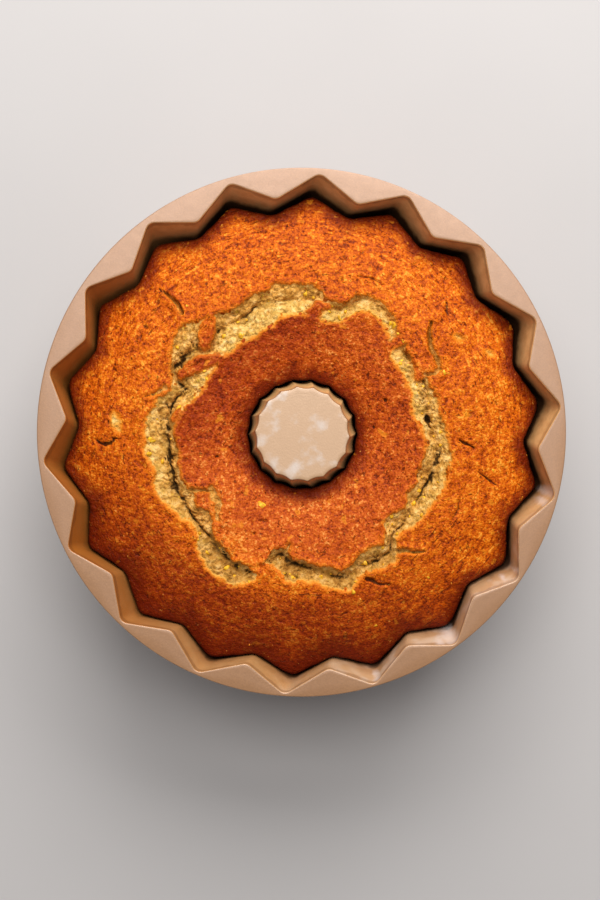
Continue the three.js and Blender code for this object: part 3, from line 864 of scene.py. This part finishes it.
def cake_material():
    t = Tree("cake_crust_and_crumb")
    split, depth, edge, gentle = t.attr("split"), t.attr("depth"), t.attr("edge"), t.attr("gentle")
    sep = t.nt.nodes.new("ShaderNodeSeparateXYZ")
    t.put(t.coord, sep.inputs[0])
    x, y = sep.outputs[0], sep.outputs[1]
    rad = t.math("SQRT", t.math("ADD", t.math("MULTIPLY", x, x), t.math("MULTIPLY", y, y)))

    # --- crust: a sandy skin whose high grains are golden and whose hollows are dark red-brown, partly its own tones and partly painted light on the grains' tops and painted shade in their hollows
    slow = t.noise(26, 2, 0.5)
    mid = t.noise(7, 3, 0.55, seed=3)
    lump = t.noise(3.1, 2, 0.5, seed=4)
    grain = t.noise(1.5, 3, 0.62, seed=5)
    sand = t.noise(0.85, 2, 0.5, seed=6)
    grit = t.math("ADD", t.math("MULTIPLY", grain, 0.55), t.math("MULTIPLY", sand, 0.45))
    bead = t.voronoi(1.25)
    each = t.nt.nodes.new("ShaderNodeSeparateColor")
    t.put(bead.outputs["Color"], each.inputs[0])
    round_top = t.math("SUBTRACT", 0.5, bead.outputs["Distance"])
    tone = t.math("ADD", t.math("MULTIPLY", grit, 0.80), 0.10)
    tone = t.math("ADD", tone, t.math("MULTIPLY", t.math("SUBTRACT", each.outputs[0], 0.5), 0.085))
    tone = t.math("ADD", tone, t.math("MULTIPLY", round_top, 0.10))
    tone = t.math("ADD", tone, t.math("MULTIPLY", t.math("SUBTRACT", lump, 0.5), 0.36))
    tone = t.math("ADD", tone, t.math("MULTIPLY", t.math("SUBTRACT", mid, 0.5), 0.22))
    tone = t.math("ADD", tone, t.math("MULTIPLY", t.math("SUBTRACT", slow, 0.5), 0.20))
    # towards the wall the skin is drawn into fine wrinkles along the ring
    drawn = t.noise(1000.0, 3, 0.6, vector=t.stretched(0.0085, 0.0017))
    ring_out = t.math("ADD", t.range(rad, 0.074, 0.100), t.range(rad, 0.062, 0.040, 0.0, 0.5))
    tone = t.math("ADD", tone, t.math("MULTIPLY", t.math("MULTIPLY", t.math("SUBTRACT", drawn, 0.5), 0.42), ring_out))
    # painted light: the inner ring's crust is lightened on the south side, where its slope faces the light
    painted_light_south_inner = t.math("MULTIPLY", t.range(y, -0.016, -0.050), t.range(rad, 0.076, 0.062))
    tone = t.math("ADD", tone, t.math("MULTIPLY", painted_light_south_inner, t.math("ADD", 0.042, t.math("SUBTRACT", t.math("MULTIPLY", t.math("SUBTRACT", tone, 0.5), -0.02), t.math("MULTIPLY", t.math("SUBTRACT", t.math("ADD", lump, mid), 1.0), 0.10)))))
    outer = t.ramp(t.range(tone, 0.32, 0.68, 0.0, 1.0, "LINEAR"),
                   [(0.0, srgb(116, 38, 0)), (0.22, srgb(166, 64, 0)), (0.5, srgb(204, 90, 3)), (0.75, srgb(226, 116, 12)), (1.0, srgb(244, 158, 52))])
    inner = t.ramp(t.range(tone, 0.32, 0.68, 0.0, 1.0, "LINEAR"),
                   [(0.0, srgb(106, 32, 0)), (0.22, srgb(150, 52, 2)), (0.5, srgb(186, 75, 7)), (0.75, srgb(208, 98, 20)), (1.0, srgb(238, 148, 70))])
    inner_ring = t.range(t.math("ADD", rad, t.math("MULTIPLY", t.math("SUBTRACT", mid, 0.5), 0.016)), 0.054, 0.076, 1.0, 0.0)
    crust = t.mix(inner_ring, outer, inner)
    # browner round the outside and darkest where it meets the pan; the south side is darker still, partly from harder
    # baking and partly as painted shade on slopes that face away from the light
    side = t.range(t.math("ADD", y, t.math("MULTIPLY", x, 0.35)), -0.030, -0.105, 0.0, 1.0)
    crust = t.mix(t.math("MULTIPLY", t.math("MULTIPLY", side, t.range(rad, 0.074, 0.088)), t.math("SUBTRACT", 1.13, t.math("ADD", t.math("MULTIPLY", lump, 0.45), t.math("MULTIPLY", grit, 0.5)))), crust, srgb(106, 28, 0))
    shoulder = t.range(t.math("SUBTRACT", y, x), 0.015, 0.070, 0.0, 1.0)
    crust = t.mix(t.math("MULTIPLY", t.math("MULTIPLY", shoulder, inner_ring), 0.44), crust, srgb(116, 36, 0))
    rim = t.math("ADD", edge, t.math("MULTIPLY", t.math("SUBTRACT", mid, 0.5), 9.0))
    rim = t.math("DIVIDE", rim, t.math("ADD", 1.0, t.math("MULTIPLY", side, 0.7)))
    crust = t.mix(t.range(rim, 10.5, 1.0, 0.0, 0.86), crust, srgb(96, 24, 0))
    crust = t.mix(t.range(edge, 1.8, -0.3, 0.0, 0.7), crust, srgb(60, 15, 2))
    red = t.math("MAXIMUM", t.math("MULTIPLY", side, t.range(rad, 0.074, 0.088)), t.math("MAXIMUM", t.range(rim, 9.0, 2.0, 0.0, 0.8), t.math("MULTIPLY", t.math("MULTIPLY", shoulder, inner_ring), 0.8)))
    crust = t.mix(red, crust, srgb(255, 228, 196), "MULTIPLY")
    # ground nuts near the skin
    nuts = t.noise(6.0, 2, 0.5, seed=51)
    nut = t.range(nuts, 0.66, 0.72)
    crust = t.mix(t.math("MULTIPLY", nut, t.math("SUBTRACT", 0.45, t.math("MULTIPLY", side, 0.3))), crust, srgb(244, 152, 34))
    speck = t.noise(1.6, 2, 0.5, seed=57)
    crust = t.mix(t.range(speck, 0.70, 0.76, 0.0, 0.45), crust, srgb(250, 172, 76))
    # burst bubbles and short fine cracks that lie along the ring, drawn darker as painted shade in them
    pit = t.range(t.noise(3.1, 3, 0.6, seed=61), 0.335, 0.285)
    lines = t.noise(1000.0, 3, 0.55, vector=t.stretched(0.0045, 0.00125), distortion=0.6)
    patch = t.range(t.noise(16, 1, 0.5, seed=13), 0.40, 0.58)
    crackle = t.math("MULTIPLY", t.range(lines, 0.375, 0.315), patch, clamp=True)
    prick = t.math("MULTIPLY", t.range(t.noise(1.9, 2, 0.5, seed=67), 0.345, 0.285), 0.8)
    hollow = t.math("MAXIMUM", t.math("MAXIMUM", pit, crackle), prick)
    crust = t.mix(t.math("MULTIPLY", hollow, 0.7), crust, srgb(84, 22, 0))
    # painted shade: the crust darkens with depth in the splits, cracks and pits
    crust = t.mix(t.range(depth, 0.5, 2.2, 0.0, 0.85), crust, srgb(44, 13, 3))

    # --- crumb: pale, coarse, green-gold
    cg = t.noise(3.4, 4, 0.6, seed=21)
    crumb = t.ramp(t.range(cg, 0.30, 0.70, 0.0, 1.0, "LINEAR"),
                   [(0.0, srgb(158, 112, 46)), (0.3, srgb(202, 152, 72)), (0.55, srgb(230, 182, 98)), (0.85, srgb(246, 208, 134))])
    crumb = t.mix(t.math("MULTIPLY", t.range(t.noise(1.15, 3, 0.6, seed=22), 0.44, 0.30, 0.0, 0.8), t.math("SUBTRACT", 1.0, t.math("MULTIPLY", gentle, 0.5))), crumb, srgb(120, 82, 32))
    crumb = t.mix(t.range(t.noise(5.5, 2, 0.5, seed=23), 0.50, 0.68, 0.0, 0.5), crumb, srgb(190, 150, 66))
    green = t.range(t.noise(2.1, 2, 0.5, seed=25), 0.64, 0.72)
    crumb = t.mix(t.math("MULTIPLY", green, 0.55), crumb, srgb(204, 174, 40))
    south = t.range(y, -0.026, -0.064)
    cliff = t.math("SUBTRACT", 1.0, gentle, clamp=True)
    crumb = t.mix(t.math("MULTIPLY", cliff, t.math("SUBTRACT", 0.75, t.math("MULTIPLY", south, 0.4))), crumb, srgb(255, 208, 138), "MULTIPLY")
    # painted shade: the gentle crumb slopes on the south half are darkened
    crumb = t.mix(t.math("MULTIPLY", t.math("MULTIPLY", south, gentle), 0.9), crumb, srgb(216, 194, 166), "MULTIPLY")
    east = t.math("MULTIPLY", t.range(x, 0.012, 0.034), t.range(y, 0.020, 0.046))
    crumb = t.mix(t.math("MULTIPLY", east, 0.7), crumb, srgb(238, 222, 206), "MULTIPLY")
    # painted shade: the crumb darkens with depth, to near black at the bottom of the split and in its crevices
    crumb = t.mix(t.range(depth, 1.8, 4.4, 0.0, 0.5), crumb, srgb(216, 198, 166), "MULTIPLY")
    crumb = t.mix(t.range(depth, 4.2, 6.8, 0.0, 0.94), crumb, srgb(58, 34, 9))
    # --- from crust to crumb: golden where the skin was stretched, sharp where it broke
    fray = t.math("ADD", split, t.math("MULTIPLY", t.math("SUBTRACT", t.noise(2.4, 4, 0.62, seed=31), 0.5), 2.2))
    stretched = t.math("MULTIPLY", gentle, 1.0, clamp=True)
    gold = t.mix(t.range(fray, -0.2, 1.5), srgb(232, 134, 28), srgb(242, 184, 84))
    crust_edge = t.mix(t.math("MULTIPLY", t.range(fray, -1.5, 0.1), t.math("ADD", t.math("MULTIPLY", stretched, 0.8), 0.1)), crust, gold)
    reach = t.math("SUBTRACT", fray, t.math("MULTIPLY", stretched, 1.5))
    colour = t.mix(t.range(reach, -0.35, 0.45), crust_edge, crumb)
    is_crumb = t.range(split, -0.2, 0.8)

    # --- relief
    height = t.math("ADD", t.math("ADD", grit, t.math("MULTIPLY", lump, 1.0)), t.math("MULTIPLY", round_top, 0.34))
    height = t.math("SUBTRACT", height, t.math("MULTIPLY", hollow, 0.5))
    height = t.math("ADD", height, t.math("MULTIPLY", t.math("MULTIPLY", cg, is_crumb), 0.6))
    normal = t.bump(height, 0.75)
    rough = t.range(t.noise(0.9, 2, 0.5, seed=9), 0.3, 0.7, 0.40, 0.62, "LINEAR")
    rough = t.math("ADD", rough, t.math("MULTIPLY", is_crumb, 0.3), clamp=True)
    t.set(Base_Color=colour, Roughness=rough, Normal=normal)
    t.bsdf.inputs["Specular IOR Level"].default_value = 0.12
    return t.mat


def pan_material():
    t = Tree("pan_coating")
    cap, inner = t.attr("cap"), t.attr("inner")
    base = srgb(165, 115, 69)
    at = t.nt.nodes.new("ShaderNodeSeparateXYZ")
    t.put(t.coord, at.inputs[0])
    flake = t.voronoi(0.55)
    sep = t.nt.nodes.new("ShaderNodeSeparateColor")
    t.put(flake.outputs["Color"], sep.inputs[0])
    colour = t.mix(t.range(sep.outputs[0], 0.0, 1.0, 0.0, 0.55, "LINEAR"), base, srgb(146, 100, 58))
    colour = t.mix(t.range(t.noise(24, 2, 0.5), 0.35, 0.7, 0.0, 0.25), colour, srgb(154, 107, 66))
    colour = t.mix(t.math("MULTIPLY", cap, 0.85), colour, srgb(185, 144, 101))
    # painted light: the inner walls are lighter towards the north, on the walls that face away from the light
    north_walls_painted_light = t.range(at.outputs[1], -0.095, 0.02)
    colour = t.mix(t.math("MULTIPLY", inner, 0.92), colour, t.mix(north_walls_painted_light, srgb(211, 162, 106), srgb(253, 204, 136)))
    # wall side: browned by fat in patches, darker towards the bottom, near black under the line of the cake partly from
    # baked-on residue and partly as painted shade of the gap, with a thin line of painted shade below the rim's edge
    low = t.math("ADD", at.outputs[2], t.math("MULTIPLY", t.math("SUBTRACT", t.noise(6, 3, 0.6, seed=8), 0.5), 0.006))
    stain = t.math("MULTIPLY", inner, t.range(t.noise(5, 3, 0.6, seed=7), 0.3, 0.75, 0.05, 0.45), clamp=True)
    colour = t.mix(stain, colour, srgb(186, 128, 66))
    # a pale film on the south-east walls that face the light: partly grease, partly a painted sheen
    grease_film_and_sheen = t.range(t.noise(9, 1, 0.5, seed=27), 0.42, 0.66, 0.16, 0.46)
    lamp_facing_walls = t.range(t.math("SUBTRACT", t.math("MULTIPLY", at.outputs[0], 0.588), t.math("MULTIPLY", at.outputs[1], 0.809)), 0.083, 0.116)
    grease_film_and_sheen = t.math("MULTIPLY", t.math("MULTIPLY", grease_film_and_sheen, lamp_facing_walls), inner, clamp=True)
    colour = t.mix(grease_film_and_sheen, colour, srgb(242, 228, 208))
    # orange on the west walls: partly a fat stain, partly painted light bounced from the cake
    fat_stain_and_bounce_light = t.range(at.outputs[0], -0.030, -0.115, 0.06, 0.86)
    colour = t.mix(t.math("MULTIPLY", inner, fat_stain_and_bounce_light), colour, srgb(176, 98, 10))
    west = t.math("SUBTRACT", 1.0, t.range(at.outputs[0], -0.045, -0.090, 0.0, 0.6))
    # darker towards the bottom of the wall; this brown is lighter on the north walls as painted light, and more orange
    # on the west walls, partly fat stain and partly painted bounce light
    brown = t.math("MULTIPLY", t.math("MULTIPLY", inner, west), t.range(low, 0.0915, 0.0815, 0.0, 0.55), clamp=True)
    colour = t.mix(brown, colour, t.mix(t.range(at.outputs[0], -0.060, -0.110), t.mix(t.range(at.outputs[1], 0.030, 0.100), srgb(132, 74, 34), srgb(152, 84, 38)), srgb(124, 60, 12)))
    # near black low on the wall: partly baked-on residue, partly painted shade of the gap between cake and wall
    baked_on_and_gap_shade = t.math("MULTIPLY", t.math("MULTIPLY", inner, west), t.range(low, 0.0838, 0.0785, 0.0, 0.94), clamp=True)
    colour = t.mix(baked_on_and_gap_shade, colour, srgb(44, 22, 10))
    # painted shade: a thin darker line on the wall just below the rim's rounded edge
    painted_rim_shade = t.math("MULTIPLY", t.range(low, 0.0940, 0.0957), t.range(at.outputs[2], 0.0976, 0.0970), clamp=True)
    colour = t.mix(t.math("MULTIPLY", painted_rim_shade, t.math("MULTIPLY", inner, 0.35)), colour, srgb(96, 58, 32))
    # painted highlights: bright spots in the corners of the flutes, standing in for glints of light
    wobble = t.math("MULTIPLY", t.math("SUBTRACT", t.noise(3.0, 2, 0.5, seed=33), 0.5), 0.0035)
    spots = None
    for bearing, r, size in ((103.3, 123.5, 3.4), (106.0, 121.8, 2.8), (125.8, 121.3, 1.7), (122.6, 124.3, 1.6), (144.0, 123.4, 4.8),
                             (146.8, 122.8, 3.2), (162.8, 124.4, 2.5)):
        dx = t.math("SUBTRACT", at.outputs[0], 0.001 * r * math.sin(math.radians(bearing)))
        dy = t.math("SUBTRACT", at.outputs[1], 0.001 * r * math.cos(math.radians(bearing)))
        away = t.math("ADD", t.math("SQRT", t.math("ADD", t.math("MULTIPLY", dx, dx), t.math("MULTIPLY", dy, dy))), wobble)
        painted_glint = t.range(away, size * 0.00125, size * 0.0001)
        spots = painted_glint if spots is None else t.math("MAXIMUM", spots, painted_glint)
    spots = t.math("MULTIPLY", t.math("MULTIPLY", spots, inner), t.range(at.outputs[2], 0.0974, 0.0964, 0.0, 0.4), clamp=True)
    colour = t.mix(spots, colour, srgb(252, 244, 240))
    # grease smears on the tube's top
    smear = t.math("MULTIPLY", cap, t.range(t.noise(11, 3, 0.55, seed=11), 0.50, 0.72), clamp=True)
    colour = t.mix(t.math("MULTIPLY", smear, 0.5), colour, srgb(214, 207, 202))
    # painted light: the tube's side is lightened to a warm golden brown towards its top
    tube = t.math("SQRT", t.math("ADD", t.math("MULTIPLY", at.outputs[0], at.outputs[0]), t.math("MULTIPLY", at.outputs[1], at.outputs[1])))
    tube = t.math("MULTIPLY", inner, t.range(tube, 0.034, 0.030), clamp=True)
    colour = t.mix(t.math("MULTIPLY", tube, t.range(at.outputs[2], 0.0885, 0.0955, 0.0, 0.8)), colour, srgb(246, 184, 116))
    rough = t.range(t.noise(3.5, 3, 0.6, seed=17), 0.3, 0.7, 0.34, 0.48, "LINEAR")
    rough = t.math("SUBTRACT", rough, t.math("MULTIPLY", inner, 0.06), clamp=True)
    rough = t.math("ADD", rough, t.math("MULTIPLY", smear, 0.12), clamp=True)
    height = t.math("ADD", t.noise(0.9, 2, 0.5, seed=19), t.math("MULTIPLY", sep.outputs[1], 0.25))
    normal = t.bump(height, 0.05)
    t.set(Base_Color=colour, Roughness=rough, Normal=normal)
    t.set(Metallic=t.math("SUBTRACT", 0.18, t.math("MULTIPLY", inner, 0.08)))
    t.set(Coat_Weight=t.math("MULTIPLY", t.math("SUBTRACT", 1.0, t.math("MAXIMUM", brown, baked_on_and_gap_shade)), t.math("SUBTRACT", 0.95, t.math("MULTIPLY", inner, 0.6))))
    t.bsdf.inputs["Coat Roughness"].default_value = 0.38
    t.bsdf.inputs["Coat IOR"].default_value = 1.7
    return t.mat


def nut_material():
    t = Tree("chopped_pistachio")
    tint = t.attr("tint")
    green = t.ramp(t.math("ADD", t.noise(1.4, 3, 0.6), 0.0), [(0.33, srgb(190, 128, 10)), (0.5, srgb(234, 172, 20)), (0.64, srgb(250, 204, 54))])
    toasted = t.ramp(t.noise(1.4, 3, 0.6), [(0.35, srgb(176, 84, 14)), (0.5, srgb(226, 132, 30)), (0.66, srgb(246, 176, 62))])
    t.set(Base_Color=t.mix(t.range(tint, 0.4, 0.9), green, toasted), Roughness=0.5, Normal=t.bump(t.noise(0.7, 3, 0.6), 0.2))
    t.bsdf.inputs["Specular IOR Level"].default_value = 0.3
    return t.mat


def floor_material():
    t = Tree("pale_floor")
    colour = t.mix(t.range(t.noise(160, 3, 0.5), 0.35, 0.7, 0.0, 0.25), srgb(196, 191, 188), srgb(188, 183, 180))
    t.set(Base_Color=colour, Roughness=0.75)
    return t.mat


# ------------------------------------------------------------------ pieces
pan = make_pan()
pan.data.materials.append(pan_material())
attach(pan, "root")
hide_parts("pan")

cake = make_cake()
cake.data.materials.append(cake_material())
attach(cake, "root")
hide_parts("cake")

nuts = make_nuts()
nuts.data.materials.append(nut_material())
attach(nuts, "root")

floor = mesh_object("floor", [(-30000, -30000, 0), (30000, -30000, 0), (30000, 30000, 0), (-30000, 30000, 0)], [(0, 1, 2), (0, 2, 3)])
floor.location.z = -0.0002
floor.data.materials.append(floor_material())

# ------------------------------------------------------------------ camera and light
scene = bpy.context.scene
cam_data = bpy.data.cameras.new("camera")
cam_data.lens = 70
cam_data.sensor_width = 36
cam_data.clip_start, cam_data.clip_end = 0.01, 50
cam = bpy.data.objects.new("camera", cam_data)
cam.location = (-0.0007, -0.0086, H * 0.001 + 0.846)
scene.collection.objects.link(cam)
scene.camera = cam


def area_light(name, place, aim, size, watts, colour=(1, 1, 1)):
    data = bpy.data.lights.new(name, "AREA")
    data.shape = "RECTANGLE"
    data.size, data.size_y = size
    data.energy = watts
    data.color = colour
    ob = bpy.data.objects.new(name, data)
    ob.location = place
    d = np.array(aim, float) - np.array(place, float)
    from mathutils import Vector
    ob.rotation_euler = Vector(d).to_track_quat("-Z", "Y").to_euler()
    scene.collection.objects.link(ob)
    return ob


area_light("window", (0.14, 1.05, 1.0), (0.0, 0.05, 0.0), (1.2, 0.9), 23.5)
area_light("ceiling", (0.0, 0.42, 1.75), (0.0, 0.2, 0.0), (1.2, 0.6), 12)
world = bpy.data.worlds.new("studio")
scene.world = world
world.use_nodes = True
world.node_tree.nodes["Background"].inputs[0].default_value = (0.96, 0.97, 1.0, 1.0)
world.node_tree.nodes["Background"].inputs[1].default_value = 0.245
scene.view_settings.view_transform = "Standard"
